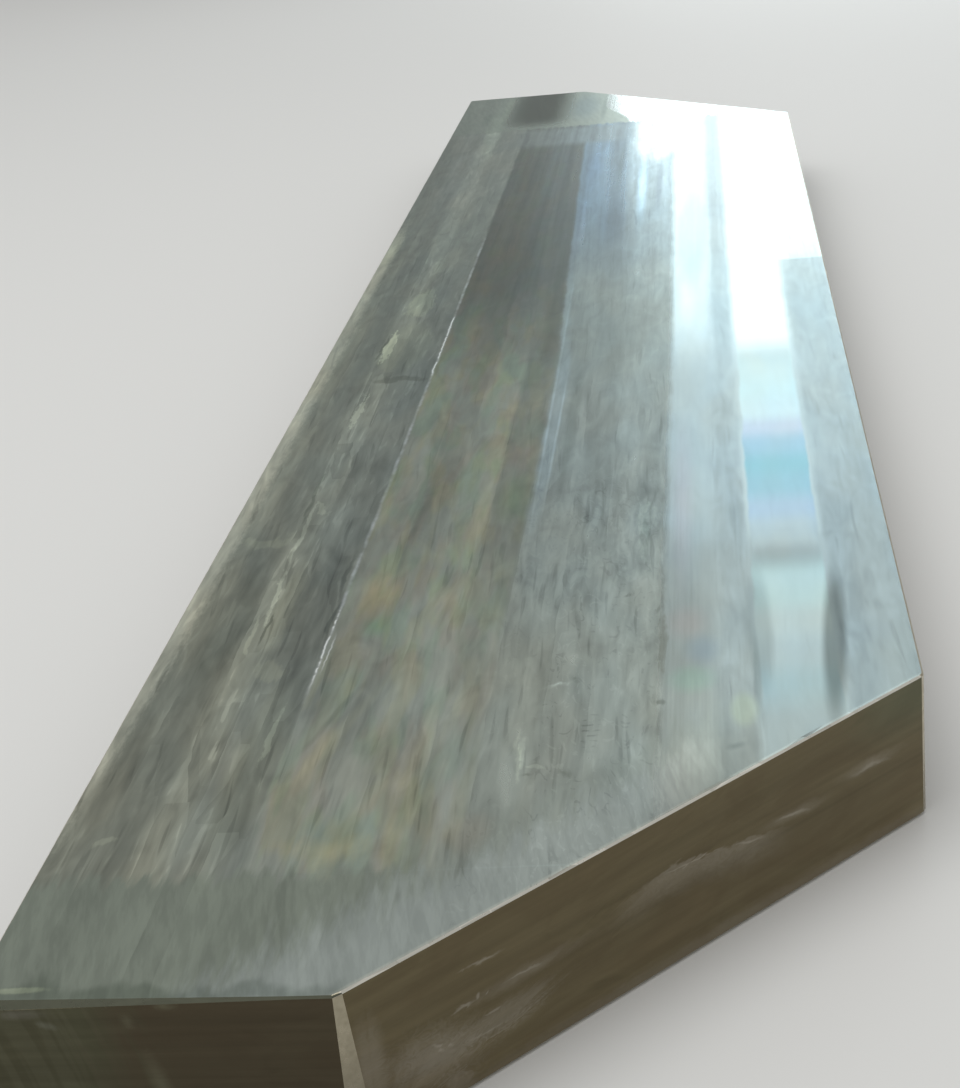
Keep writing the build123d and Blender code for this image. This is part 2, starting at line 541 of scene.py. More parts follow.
class LaneLook:
    """What the lanes are like at a point of the top face."""

    def __init__(self, nodes, place):
        def over_width(value):
            return nodes.steps(place.width_share, lane_stops(value), "LINEAR")

        self.near = over_width(lambda lane: lane.near)
        self.middle = over_width(lambda lane: lane.middle)
        self.far = over_width(lambda lane: lane.far)
        feel = over_width(lambda lane: (lane.rough, lane.film, lane.marks))
        self.rough, self.film, self.marks = nodes.parts(feel)
        more = over_width(lambda lane: (lane.far_rough, lane.flakes, lane.smooth))
        self.far_rough, self.flakes, self.smooth = nodes.parts(more)
        numbers = lane_stops(lambda lane: (LANES.index(lane) * 0.07,) * 3, soft=False)
        self.seed = nodes.parts(nodes.steps(place.width_share, numbers))[0] * 40.0


def cut_gap(place):
    """How far a point of the top face is from the near cut side, in mm."""
    return (place.along - place.across + LENGTH / 2 + WIDTH - CORNER_CUT) * SLANT


def end_passes(nodes, place):
    """How far a point is inside the passes at the near end, the cut side and the far end."""
    ragged = nodes.cloud(place.across, place.along, 9, 60, 3.0, 3.0, 0.6) - 0.5
    along = place.along + ragged * 50.0
    near = along.rise(-1430, -1408, 1.0, 0.0)
    far = along.rise(1180, 1200)
    cut_side = (cut_gap(place) + ragged * 70.0).rise(35, 100, 1.0, 0.0)
    cut_side = cut_side * place.across.rise(445, 510, 1.0, 0.15)
    return near, cut_side, far


def cutter_streaks(nodes, place, lanes, ends):
    """Lighter and darker streaks, from wide to fine, centred on 0, and the fine ones' height."""
    x, y = place.streak_across, place.along
    flakes, smooth = lanes.flakes, lanes.smooth.rise(0.0, 0.5, 0.0, 0.75)
    rough_share = 1.0 - smooth
    broad = nodes.cloud(x, y, 45, 260, lanes.seed, 1.0) - 0.5
    wide = nodes.cloud(x, y, 18, 150, lanes.seed + 1.0, 2.0, 0.5, 0.3) - 0.5
    strokes = nodes.cloud(x, y, 7, 60, lanes.seed + 2.0, 2.0, 0.5, 0.4) - 0.5
    slanted = nodes.cloud(x + y * 0.2, y, 8, 55, 5.0, 3.0, 0.6).rise(0.36, 0.64) - 0.5
    gash = nodes.cloud(x + y * 0.03, y, 7, 120, lanes.seed + 4.0, 1.0).rise(0.66, 0.76)
    patch = nodes.patches(place.lane_across, y, 24, 110, lanes.seed)
    patchy = nodes.cloud(place.across, y, 24, 75, 31.0, 2.0, 0.5, 0.8) - 0.5
    lengthwise = nodes.cloud(place.lane_across, y, 17, 1300, 41.0, 3.0, 0.6) - 0.5
    scuff = strokes.rise(0.08, 0.16) * wide.rise(0.02, 0.1)

    plain = y.rise(-1300, 0, 1.0, 0.5)
    plain = (plain + (y.rise(0, 500, 1.2, 0.8) - plain) * flakes) * rough_share
    lane_light = broad * 0.45 + wide * 0.6 + strokes * 0.38 - gash * 0.2
    lane_light = lane_light + ((patch - 0.5) * 0.25 + scuff * 0.2) * flakes
    lane_light = lane_light * plain + patchy * 0.46 * rough_share
    lane_light = lane_light + lengthwise * 1.3 * y.rise(-350, 350) * rough_share * (1.0 - flakes)
    lane_light = lane_light * place.across.rise(440, 490, 1.0, 0.6)
    end_light = slanted * 0.13 + broad * 0.35 + strokes * 0.15
    return lane_light + (end_light - lane_light) * ends, strokes * plain


def cutter_scribbles(nodes, place):
    """Marks of the cutter where it chattered, below 0 where dark and above 0 where light."""
    x, y = place.across, place.along
    arches = nodes.cloud(x, y, 10, 60, 6.0, 1.0, 0.5, 0.7)
    arches = arches.rise(0.54, 0.66) - arches.rise(0.36, 0.46, 1.0, 0.0)
    arches = arches * y.within(-1000, -680, 120)
    where = nodes.cloud(x, y, 24, 60, 7.0, 1.0)
    curls = nodes.cloud(x + y * 0.15, y, 11, 27, 8.0, 2.0, 0.55, 2.0)
    dark = curls.rise(0.60, 0.66) * where.rise(0.48, 0.58)
    light = curls.rise(0.34, 0.40, 1.0, 0.0) * where.rise(0.44, 0.54, 1.0, 0.0)
    ticks = nodes.math("SINE", y * 0.75, 0.0).rise(0.3, 0.8)
    hatch = ticks * nodes.cloud(x, y, 7, 5, 10.0, 1.0).rise(0.4, 0.55)
    hatch = hatch * nodes.mask(place.plain, HATCHED)
    return arches * 0.13 + light * 0.12 - dark * 0.17 - hatch * 0.26


def lane_colour(nodes, place, lanes):
    """The steel of each lane along its length, partly painted sheen, reflection and shade."""
    across, along = place.across, place.along
    colour = nodes.blend(along.rise(-1250, -700), lanes.near, lanes.middle)
    far_part = along.rise(-50, 500)
    far_part = far_part + (along.rise(-400, 150) - far_part) * lanes.film
    colour = nodes.blend(far_part, colour, lanes.far)
    # Painted shade: the lanes left of the smooth ones are darkened in the middle of the length
    dull = along.within(-350, 550, 300) * across.rise(425, 445, 1.0, 0.0)
    painted_shade_tint = nodes.blend(across.rise(280, 300), (0.83, 0.84, 0.83), (0.74, 0.75, 0.74))
    return nodes.tinted(dull, colour, painted_shade_tint)


def thin_tints(nodes, place, lanes, colour):
    """Faint cool and warm patches, the oil film and the painted tints of the reflection in the
    smoothest lane.
    """
    hue = nodes.cloud(place.across, place.along, 45, 170, 12.0, 1.0)
    colour = nodes.tinted(1.0, colour, nodes.steps(hue, COOL_TO_WARM, "LINEAR"))
    oily = lanes.film * place.along.stretch(-1200, -200, 0.6, 1.0)
    for seed, tint in OIL_PATCHES:
        patch = nodes.cloud(place.streak_across, place.along, 26, 120, seed, 2.0)
        colour = nodes.tinted(oily * patch.rise(0.46, 0.64), colour, tint)
    reflection_stops = [(at / LENGTH + 0.5, tint) for at, tint in REFLECTION_TINTS]
    tints = nodes.steps(place.length_share, reflection_stops, "EASE")
    return nodes.tinted(lanes.smooth.rise(0.6, 1.0), colour, tints)


def far_end(nodes, place, far, colour, rough):
    """A strip across the far part, and beyond it a dark patch and a mirror-bright one, whose white
    is a painted reflection of the window.
    """
    across, along = place.across, place.along
    strip = along.within(1025, 1180, 60) * across.within(130, 335, 70)
    strip_steel = nodes.blend(across.rise(150, 300), STRIP_STEEL, STRIP_BLUE_STEEL)
    colour = nodes.blend(strip, colour, strip_steel)
    dark = along.rise(1180, 1310) * across.within(114, 206, 64)
    colour = nodes.tinted(dark, colour, (0.44, 0.48, 0.42))
    # The white patch is a painted reflection of the window
    border = along.rise(1195, 1390, 50.0, 0.0)
    white = far * (across - border).rise(289, 297)
    colour = nodes.blend(white, colour, FAR_END_REFLECTION_WHITE)
    for shiny in (dark, white):
        rough = rough + (FAR_END_ROUGH - rough) * shiny
    return colour, rough


def bright_rims(nodes, place, flaky, colour):
    """Lighter rims along the straight side and the near cut side; along the near cut side a painted
    highlight.
    """
    waver = flaky - 0.5
    rim = place.across + waver * 14.0 + place.along.rise(-1250, -1000, 6.0, 0.0)
    rim = rim.rise(9, 23, 1.0, 0.0) * (place.along + waver * 200.0).within(-1320, 450, 160)
    colour = nodes.tinted(rim, colour, (1.9, 1.82, 1.8))
    # A painted highlight along the near cut side's edge
    lip = cut_gap(place).rise(2.5, 5, 1.0, 0.0)
    return nodes.tinted(lip, colour, (1.25, 1.2, 1.16))


def burr(nodes, place, colour):
    """The burr between two lanes, bright where it is left, partly as a painted highlight, and forked
    near its end.
    """
    across, along = place.across, place.along
    wander = nodes.cloud(across, along, 300, 40, 9.0, 3.0, 0.7) - 0.5
    branch = nodes.cloud(across, along, 300, 30, 10.0, 2.0, 0.6) - 0.5
    from_burr = across + wander * 4.0 - BURR_ACROSS
    from_fork = across + branch * 6.0 - FORK_ACROSS
    bare = from_burr.within(-0.8, 0.8, 1.3) * wander.rise(-0.16, -0.02, 0.15, 1.0)
    fork = from_fork.within(-0.6, 0.6, 1.3) * along.within(-1100, -1045, 40)
    # The painted highlight is strongest on these two stretches
    strong = along.within(-315, -62, 30).or_more(along.within(-1125, -985, 50))
    bare = (bare * strong * 0.9).or_more(fork * 0.6)
    rubbed = from_burr.within(-1.6, 1.6, 3.2) * along.within(-1150, 350, 120)
    colour = nodes.blend(rubbed * (0.26 + branch), colour, RUBBED_BURR_STEEL)
    return nodes.blend(bare, colour, BURR_STEEL)


def milled_top():
    """The top face: steel milled in lengthwise lanes, each with its own sheen."""
    nodes = Nodes("milled_top")
    place = TopPlace(nodes)
    across, along = place.across, place.along
    lanes = LaneLook(nodes, place)
    near, cut_side, far = end_passes(nodes, place)
    ends = near.or_more(cut_side).or_more(far)
    light, height = cutter_streaks(nodes, place, lanes, ends)
    scribbled = lanes.marks * along.rise(-800, -500, 1.0, 0.0)
    light = light + 1.0 + cutter_scribbles(nodes, place) * scribbled

    colour = lane_colour(nodes, place, lanes)
    colour = thin_tints(nodes, place, lanes, colour)
    colour = nodes.blend(ends, colour, nodes.blend(cut_side, END_STEEL, CUT_SIDE_STEEL))
    rough = lanes.rough + (lanes.far_rough - lanes.rough) * along.rise(-200, 900)
    matt_ends = near.or_more(cut_side * across.rise(425, 434, 1.0, 0.0))
    rough = rough + (0.33 - rough) * matt_ends - (light - 1.0) * 0.05

    flaky = nodes.cloud(across, along, 4, 18, 14.0, 4.0, 0.75)
    bites = flaky.stretch(0.25, 0.75, 0.0, 1.0)
    for where, dabs in ((place.ragged, TOP_DABS), (place.plain, SHEEN_DABS)):
        for dab in dabs:
            colour = nodes.tinted(nodes.mask(where, dab, bites), colour, dab.tint)
    colour, rough = far_end(nodes, place, far, colour, rough)
    colour = bright_rims(nodes, place, flaky, colour)

    # The last lane is lighter and smoother in its far half; its lighter colour is partly a painted
    # reflection.
    rubbed = along.rise(102, 116) * across.rise(577, 583) * (1.0 - far)
    colour = nodes.tinted(rubbed, colour, (1.5, 1.5, 1.45))
    rough = rough - rubbed * 0.08
    colour = burr(nodes, place, nodes.dim(colour, light))
    grooves = nodes.cloud(across, along, 5, 240, 15.0, 1.0, 0.5)
    height = (grooves - 0.5) * (1.0 - lanes.smooth * 0.6) + height * 0.4
    crosswise = nodes.vector(1.0, 0.0)
    return nodes.steel(colour, rough, height, TOP_RELIEF, crosswise, 0.8, TOP_RIM_TINT)


PALE_SMEAR = (0.42, 0.39, 0.33)

# Haze and scuffs on the near cut face, and a painted highlight along its bottom edge: along it from
# its near corner, and up
CUT_FACE_HAZE = (
    Dab((500, 74), (60, 9), PALE_SMEAR, turn=-2, soft=1, broken=0.3),
    Dab((414, 68), (60, 9), PALE_SMEAR, turn=-2, soft=1, broken=0.3),
    Dab((150, 65), (90, 10), PALE_SMEAR, soft=1, broken=0.3),
    Dab((140, 34), (45, 13), PALE_SMEAR, turn=6, soft=0.7, broken=0.6),
    Dab((84, 12), (26, 18), PALE_SMEAR, turn=-20, soft=0.6, broken=0.5),
    Dab((130, 42), (75, 20), PALE_SMEAR, turn=4, soft=0.6, broken=0.5),
    Dab((70, 40), (85, 42), PALE_SMEAR, turn=-12, soft=0.6, broken=0.5),
    Dab((70, 40), (60, 26), PALE_SMEAR, turn=-12, soft=0.9, broken=0.5),
    Dab((20, 60), (16, 60), PALE_SMEAR, broken=0.3),
    # A painted highlight along the bottom edge
    Dab((360, 3), (460, 14), PALE_SMEAR, soft=0.7, broken=0.2),
    Dab((560, 116), (110, 50), (0.10, 0.17, 0.12), soft=1),
)
CUT_FACE_SCUFFS = (
    Dab((311, 77), (38, 1.6), PALE_SMEAR, turn=-6, broken=0.2),
    Dab((366, 67), (24, 1.7), PALE_SMEAR, turn=-12, broken=0.2),
    Dab((413, 68), (26, 2.2), PALE_SMEAR, turn=-6, broken=0.2),
    Dab((499, 72), (32, 2.4), PALE_SMEAR, turn=-4, soft=1, broken=0.2),
    Dab((114, 92), (27, 1.8), PALE_SMEAR, turn=-2, broken=0.3),
    Dab((96, 65), (21, 1.9), PALE_SMEAR, turn=2, broken=0.2),
    Dab((112, 68), (2, 4), PALE_SMEAR, turn=-20),
    Dab((148, 66), (26, 1.5), PALE_SMEAR, turn=-1, soft=0.9, broken=0.3),
    Dab((119, 50), (9, 1.8), PALE_SMEAR, broken=0.2),
    Dab((73, 46), (15, 2.2), PALE_SMEAR, turn=-33, soft=0.7, broken=0.2),
    Dab((106, 37), (22, 2.0), PALE_SMEAR, turn=-3, broken=0.3),
)

# Strokes on the near end, across from the square corner and up
NEAR_END_STROKES = (
    Dab((120, 58), (11, 46), (1.55, 1.75, 1.8), turn=14, soft=1, broken=0.25),
    Dab((131, 121), (15, 7), (1.6, 1.85, 1.9), soft=1, broken=0.5),
    Dab((105, 110), (9, 12), (1.5, 1.65, 1.7), turn=20, soft=1, broken=0.5),
    Dab((52, 108), (12, 5), (1.5, 1.55, 1.8), turn=-20, broken=0.3),
    Dab((36, 117), (26, 7), (1.4, 1.4, 1.7), broken=0.3),
)


class SidePlace:
    """Where a point of a side face is, in mm: along it and up, and which face it is on."""

    def __init__(self, nodes):
        def dot(a, b):
            node = nodes.add("VectorMath", {0: a, 1: b}, operation="DOT_PRODUCT")
            return Field(nodes, node.outputs["Value"])

        normal = nodes.add("NewGeometry").outputs["Normal"]
        upward = {0: (0, 0, 1), 1: normal}
        self.way = nodes.add("VectorMath", upward, operation="CROSS_PRODUCT").outputs[0]
        self.run = dot(self.way, nodes.vector(nodes.x, nodes.y, nodes.z)) / MM
        self.up = nodes.z / MM
        self.near_cut = dot(normal, (SLANT, -SLANT, 0)).rise(0.9, 0.95)
        self.near_end = dot(normal, (0, -1, 0)).rise(0.9, 0.95)
        self.curls = nodes.cloud(self.run, self.up, 13, 7, 7.0, 3.0, 0.65, 1.8)


def near_cut_scuffs(nodes, place, colour):
    """The haze, the smear and the scuffs of the near cut face, and a painted highlight along its
    bottom edge.
    """
    start = SLANT * (PLATE_HIGH.x / MM - CORNER_CUT + PLATE_LOW.y / MM)
    along = place.run - start
    wobble = nodes.cloud(place.run, place.up, 24, 12, 9.0, 3.0, 0.6) - 0.5
    under = 84.0 - nodes.math("ABSOLUTE", along - 285, 0.0) * 0.17 - place.up + wobble * 12.0
    smear = under.rise(0, 2.5) * under.rise(5, 32, 1.0, 0.0) * along.within(250, 390, 70)
    smear = smear * place.curls.stretch(0.3, 0.6, 0.7, 1.0) * place.near_cut
    colour = nodes.blend(smear * 0.3, colour, PALE_SMEAR)
    where = nodes.vector(along, place.up + wobble * 7.0)
    for strength, dabs in ((0.26, CUT_FACE_HAZE), (0.42, CUT_FACE_SCUFFS)):
        for dab in dabs:
            mask = nodes.mask(where, dab, place.curls)
            colour = nodes.blend(mask * place.near_cut * strength, colour, dab.tint)
    return colour


def near_end_tints(nodes, place, colour):
    """The near end is darker, as painted shade, with soft upright strokes towards its square corner.
    """
    # Painted shade: the whole near end is darkened
    colour = nodes.tinted(place.near_end, colour, (0.56, 0.56, 0.62))
    across = place.run - PLATE_LOW.x / MM
    bent = across + place.up * place.up * 0.0016
    swept = nodes.cloud(bent, place.up, 11, 110, 8.0, 2.0, 0.5)
    greenish = (across + swept * 60.0).rise(95, 150, 1.0, 0.0) * place.near_end
    colour = nodes.tinted(greenish, colour, (1.02, 1.2, 1.16))
    colour = nodes.tinted(greenish * swept.rise(0.42, 0.62), colour, (1.16, 1.17, 1.2))
    where = nodes.vector(across, place.up)
    for dab in NEAR_END_STROKES:
        mask = nodes.mask(where, dab, place.curls)
        colour = nodes.tinted(mask * place.near_end, colour, dab.tint)
    return colour


def oiled_side():
    """The side faces: steel under a thin film of oil, dark partly as a painted reflection of a dark
    floor, with pale smears.
    """
    settings = bpy.context.scene.plate_finish
    nodes = Nodes("oiled_side")
    place = SidePlace(nodes)
    run, up = place.run, place.up
    pass_mark = nodes.cloud(up, run, 9, 500, 1.0, 3.0, 0.6)
    cloudy = nodes.cloud(up, run, 42, 110, 2.0, 3.0, 0.6, 0.6)
    scuff = nodes.cloud(up, run, 2.4, 36, 4.0, 3.0, 0.65, 0.4)
    scuffed = nodes.cloud(up, run, 25, 110, 6.0, 2.0)
    light = (pass_mark - 0.5) * 0.4 + (cloudy - 0.5) * 0.9 + 1.0
    # Painted light: lighter towards the bottom, against the shade of the floor reflected there
    light = light * (1.0 + up.rise(0, 60, 0.45, 0.0))
    # The side colours are dark partly as a painted reflection of a dark floor
    colour = nodes.blend(cloudy.rise(0.35, 0.65), settings.side_steel_and_reflection, settings.side_shadow)
    colour = nodes.dim(colour, light)

    # Long smears, on the sides other than the two near ones
    pale = scuff.rise(0.56, 0.7) * scuffed.rise(0.52, 0.66) * 0.3
    pale = pale * (1.0 - place.near_end) * (1.0 - place.near_cut)
    colour = nodes.blend(pale, colour, PALE_SMEAR)
    colour = near_cut_scuffs(nodes, place, colour)
    colour = near_end_tints(nodes, place, colour)
    rough = cloudy.stretch(0.3, 0.7, 0.30, 0.42)
    return nodes.steel(colour, rough, pass_mark + scuff * 0.5, SIDE_RELIEF, place.way, 0.5)


def bare_edge():
    """Edge breaks and hand-ground flats: clean bright steel."""
    settings = bpy.context.scene.plate_finish
    nodes = Nodes("bare_edge")
    place = nodes.add("TexCoord").outputs["Object"]
    noise = nodes.add("TexNoise", {"Vector": place, "Scale": 180.0, "Detail": 3.0})
    grain = Field(nodes, noise.outputs["Fac"])
    dull = grain.stretch(0.3, 0.7, 0.3, 0.7)
    colour = nodes.blend(dull, settings.edge_steel, settings.edge_shadow)
    facing = nodes.add("SeparateXYZ", {0: nodes.add("NewGeometry").outputs["Normal"]}).outputs
    to_right, upward = Field(nodes, facing[0]), Field(nodes, facing[2])
    to_near = Field(nodes, facing[1]) * -1.0

    # The top edge of the near cut side is the brightest, a painted highlight.
    bright = to_near.rise(0.25, 0.4) * to_right.rise(0.25, 0.4) * upward.rise(0.3, 0.5)
    colour = nodes.blend(bright, colour, (1.0, 0.97, 0.87))

    # The filed bevel of the near end is darker, and the ground flat a little darker low down.
    filed = to_near.rise(0.4, 0.6) * upward.rise(0.3, 0.5)
    colour = nodes.blend(filed, colour, settings.filed_steel)
    flat = upward.rise(-0.1, 0.0) * upward.rise(0.1, 0.2, 1.0, 0.0) * to_near.rise(0.6, 0.7)
    lower = (nodes.z / MM).rise(40, 115, 0.62, 0.84)
    colour = nodes.dim(colour, 1.0 - flat * (1.0 - lower))
    rough = grain.stretch(0.3, 0.7, 0.25, 0.4)
    return nodes.steel(colour, rough, grain, SIDE_RELIEF, nodes.vector(0.0, 0.0, 1.0), 0.0)


# The plate


def only(piece):
    """Makes the piece the one that operators work on."""
    bpy.ops.object.select_all(action="DESELECT")
    piece.select_set(True)
    bpy.context.view_layer.objects.active = piece


def select_faces(piece, wanted):
    """In edit mode, selects the faces that wanted says yes to."""
    bpy.ops.mesh.select_mode(type="FACE")
    bpy.ops.mesh.select_all(action="DESELECT")
    mesh = bmesh.from_edit_mesh(piece.data)
    for face in mesh.faces:
        face.select_set(wanted(face))
    bmesh.update_edit_mesh(piece.data)


def is_top(face):
    return face.normal.z > 0.95


def is_side(face):
    return any(face.normal.dot(way) > 0.999 for way in SIDE_DIRECTIONS) or face.normal.z < -0.95


def is_edge(face):
    return not is_top(face) and not is_side(face)


def is_rim(face, width):
    """Whether a top face is a part of the narrow ring along the outline."""
    if not is_top(face):
        return False
    return face.calc_area() < 1.6 * width * max(edge.calc_length() for edge in face.edges)


def copy_of_plate():
    """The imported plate's shape, with its loose triangles merged into whole faces."""
    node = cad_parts["plate"]
    piece = bpy.data.objects.new("milled_plate", node.data.copy())
    bpy.context.scene.collection.objects.link(piece)
    piece.data.materials.clear()
    only(piece)
    bpy.ops.mesh.customdata_custom_splitnormals_clear()
    bpy.ops.object.mode_set(mode="EDIT")
    bpy.ops.mesh.select_all(action="SELECT")
    bpy.ops.mesh.remove_doubles(threshold=0.01 * MM)
    bpy.ops.mesh.dissolve_limited(angle_limit=math.radians(0.2))
    return piece


def cut(piece, wanted, point, direction):
    """Cuts the wanted faces along a plane."""
    select_faces(piece, wanted)
    bpy.ops.mesh.bisect(plane_co=point, plane_no=direction, threshold=0.001 * MM)


def sink_lanes(piece):
    """Cuts the top into lanes, each a little lower than the highest, with steep steps."""
    settings = bpy.context.scene.plate_shape
    half_step = settings.step_width / 2
    near = PLATE_LOW.y + settings.near_band
    far = PLATE_HIGH.y - settings.far_band
    steps = [lane for lane, after in zip(LANES, LANES[1:]) if lane.depth != after.depth]
    for offset in (-half_step, half_step):
        for lane in steps:
            cut(piece, is_top, (PLATE_LOW.x + lane.edge * MM + offset, 0, PLATE_TOP), (1, 0, 0))
        for border in (near, far):
            cut(piece, is_top, (0, border + offset, PLATE_TOP), (0, 1, 0))

    start = PLATE_LOW.x
    for lane in (*steps, LANES[-1]):
        end = PLATE_LOW.x + lane.edge * MM

        def in_lane(face):
            middle = face.calc_center_median()
            inside = start + half_step < middle.x < end - half_step
            if lane is LANES[-1]:
                inside = middle.x > start
            return is_top(face) and inside and near + half_step < middle.y < far - half_step

        select_faces(piece, in_lane)
        bpy.ops.transform.translate(value=(0, 0, -lane.depth * MM))
        start = end


def roughen_edges(piece):
    """Lets the top edges wander a little, as on a plate deburred by hand.

    A narrow ring inside the top's outline and the edge breaks round it are sliced
    across, and their shared corners are then moved in and out.
    """
    settings = bpy.context.scene.plate_shape
    select_faces(piece, is_top)
    bpy.ops.mesh.inset(thickness=settings.rim_width, depth=0.0, use_even_offset=True)

    def is_high(face):
        return face.calc_center_median().z > PLATE_TOP - 3 * settings.rim_width

    def in_ring(face):
        return is_high(face) and (is_edge(face) or is_rim(face, settings.rim_width))

    for axis in (1, 0):
        way = Vector((0, 0, 0))
        way[axis] = 1
        start, end = PLATE_LOW[axis], PLATE_HIGH[axis]
        slices = int((end - start) / settings.slice_length)
        for number in range(1, slices):
            at = start + (end - start) * number / slices
            cut(piece, in_ring, way * at, way)

    select_faces(piece, lambda face: is_edge(face) and is_high(face))
    bpy.ops.object.vertex_group_assign_new()
    piece.vertex_groups[-1].name = "top_edges"
    bpy.ops.object.mode_set(mode="OBJECT")
    waver = piece.modifiers.new("waver", "DISPLACE")
    waver.texture = bpy.data.textures.new("waver", "CLOUDS")
    waver.texture.noise_scale = settings.slice_length
    waver.strength = settings.waver
    waver.mid_level = 0.5
    waver.vertex_group = "top_edges"
    bpy.ops.object.modifier_apply(modifier=waver.name)
    bpy.ops.object.vertex_group_remove(all=True)
    bpy.ops.object.mode_set(mode="EDIT")


def give_finishes(piece):
    """Puts each finish on its own faces."""
    finishes = ((milled_top, is_top), (oiled_side, is_side), (bare_edge, is_edge))
    for number, (finish, test) in enumerate(finishes):
        piece.data.materials.append(finish())
        select_faces(piece, test)
        piece.active_material_index = number
        bpy.ops.object.material_slot_assign()


# The sheet that the finishes can be baked on, in mm of plate
SHEET_SIDE = 2000.0
SHEET_GAP = 10.0
UNDERSIDE_SCALE = 0.4
EDGE_SPREAD = 3.0
COLUMN_WIDTH = 135.0


def spread_on_sheet(piece):
    """Lays every face out flat on a square sheet, so that its finish can be baked.

    The top lies on it in two halves, with the edges that show from above spread round
    them. The underside is smaller, and the upright faces stand in columns.
    """
    cut(piece, lambda face: True, (0, 0, 0), (0, 1, 0))
    bpy.ops.object.mode_set(mode="OBJECT")
    piece.data.uv_layers.new(name="OFBake")
    bpy.ops.object.mode_set(mode="EDIT")
    mesh = bmesh.from_edit_mesh(piece.data)
    layer = mesh.loops.layers.uv["OFBake"]

    def put(face, spot):
        for loop in face.loops:
            loop[layer].uv = spot((loop.vert.co - PLATE_LOW) / MM) / SHEET_SIDE

    strips = {}
    thickness = (PLATE_TOP - PLATE_LOW.z) / MM
    for face in mesh.faces:
        way = face.normal.xy
        half = int(face.calc_center_median().y > 0)
        shift = Vector((SHEET_GAP + half * (WIDTH + 2 * SHEET_GAP), SHEET_GAP - half * LENGTH / 2))
        if face.normal.z > 0.3:
            outward = way.normalized() * EDGE_SPREAD if is_edge(face) else Vector((0, 0))
            put(face, lambda at: at.xy + outward * (thickness - at.z) + shift)
        elif face.normal.z < -0.3:
            corner = Vector((SHEET_GAP, LENGTH / 2 + 3 * SHEET_GAP))
            put(face, lambda at: at.yx * UNDERSIDE_SCALE + corner)
        else:
            strips.setdefault((round(way.x, 1), round(way.y, 1), half), []).append(face)

    columns = [SHEET_GAP] * 5
    measured = []
    for (x, y, half), faces in strips.items():
        along = Vector((y, -x)).normalized()
        runs = [((vert.co - PLATE_LOW) / MM).xy @ along for face in faces for vert in face.verts]
        length = max(runs) - min(runs)
        wider = EDGE_SPREAD if length < 30 else 1.0
        measured.append((length * wider, min(runs), wider, along, faces))
    for length, start, wider, along, faces in sorted(measured, key=lambda strip: -strip[0]):
        column = next(n for n, used in enumerate(columns) if used + length < SHEET_SIDE)
        corner = Vector((SHEET_SIDE - COLUMN_WIDTH * (5 - column), columns[column]))
        columns[column] += length + SHEET_GAP
        for face in faces:
            put(face, lambda at: Vector((at.z, (at.xy @ along - start) * wider)) + corner)
    bmesh.update_edit_mesh(piece.data)


# The stage


def make_floor():
    settings = bpy.context.scene.plate_stage
    bpy.ops.object.select_all(action="DESELECT")
    bpy.ops.mesh.primitive_plane_add(size=settings.floor_size, location=(0, 0, 0))
    floor = bpy.context.object
    floor.name = "floor"
    material = bpy.data.materials.new("pale_floor")
    material.use_nodes = True
    shader = material.node_tree.nodes["Principled BSDF"]
    shader.inputs["Base Color"].default_value = (*settings.floor_colour, 1.0)
    shader.inputs["Roughness"].default_value = 0.7
    floor.data.materials.append(material)


def make_air():
    """Soft light from all round, weaker near the horizon than overhead."""
    settings = bpy.context.scene.plate_stage
    world = bpy.data.worlds.new("studio")
    world.use_nodes = True
    tree = world.node_tree
    direction = tree.nodes.new("ShaderNodeTexCoord").outputs["Generated"]
    split = tree.nodes.new("ShaderNodeSeparateXYZ")
    fade = tree.nodes.new("ShaderNodeMapRange")
    fade.inputs[3].default_value = settings.low_light
    fade.inputs[4].default_value = settings.high_light
    background = tree.nodes["Background"]
    background.inputs["Color"].default_value = (*settings.air_colour, 1.0)
    tree.links.new(direction, split.inputs[0])
    tree.links.new(split.outputs[2], fade.inputs[0])
    tree.links.new(fade.outputs[0], background.inputs["Strength"])
    bpy.context.scene.world = world


def make_lamp(name, place, aim, size, brightness, colour=(1.0, 1.0, 1.0)):
    """A soft rectangular lamp whose face shines at this brightness, where 1 is white."""
    lamp = bpy.data.lights.new(name, "AREA")
    lamp.shape = "RECTANGLE"
    lamp.size, lamp.size_y = size
    lamp.energy = brightness * math.pi * size[0] * size[1]
    lamp.color = colour
    thing = bpy.data.objects.new(name, lamp)
    thing.location = place
    thing.rotation_euler = (Vector(aim) - Vector(place)).to_track_quat("-Z", "Y").to_euler()
    thing.visible_camera = False
    bpy.context.scene.collection.objects.link(thing)


# The window's panes: how high each begins and ends, in m, and how bright it is
PANES = ((0.3, 2.1, 2.6), (2.15, 3.07, 1.3), (3.17, 4.3, 0.9))


def make_lamps():
    """A tall window of three panes beyond the far end, and a soft lamp overhead."""
    settings = bpy.context.scene.plate_stage
    x = settings.window_left + settings.window_width / 2
    for number, (low, high, brightness) in enumerate(PANES):
        z = (low + high) / 2
        size = (settings.window_width, high - low)
        place, aim = (x, settings.window_gap, z), (x, 0.0, z)
        make_lamp(f"pane_{number}", place, aim, size, brightness, settings.window_colour)
    make_lamp("overhead", (-1.5, -1.0, 5.0), (0.0, 0.0, 0.0), (4.0, 4.0), 2.0)


def make_camera():
    settings = bpy.context.scene.plate_stage
    lens = bpy.data.cameras.new("camera")
    lens.sensor_fit = "HORIZONTAL"
    lens.sensor_width = 36.0
    lens.lens = settings.lens
    camera = bpy.data.objects.new("camera", lens)
    camera.location = settings.camera_place
    camera.rotation_euler = settings.camera_turn
    bpy.context.scene.collection.objects.link(camera)
    bpy.context.scene.camera = camera


# What a user would change


def length(name, description, default):
    return FloatProperty(name=name, description=description, default=default, unit="LENGTH")


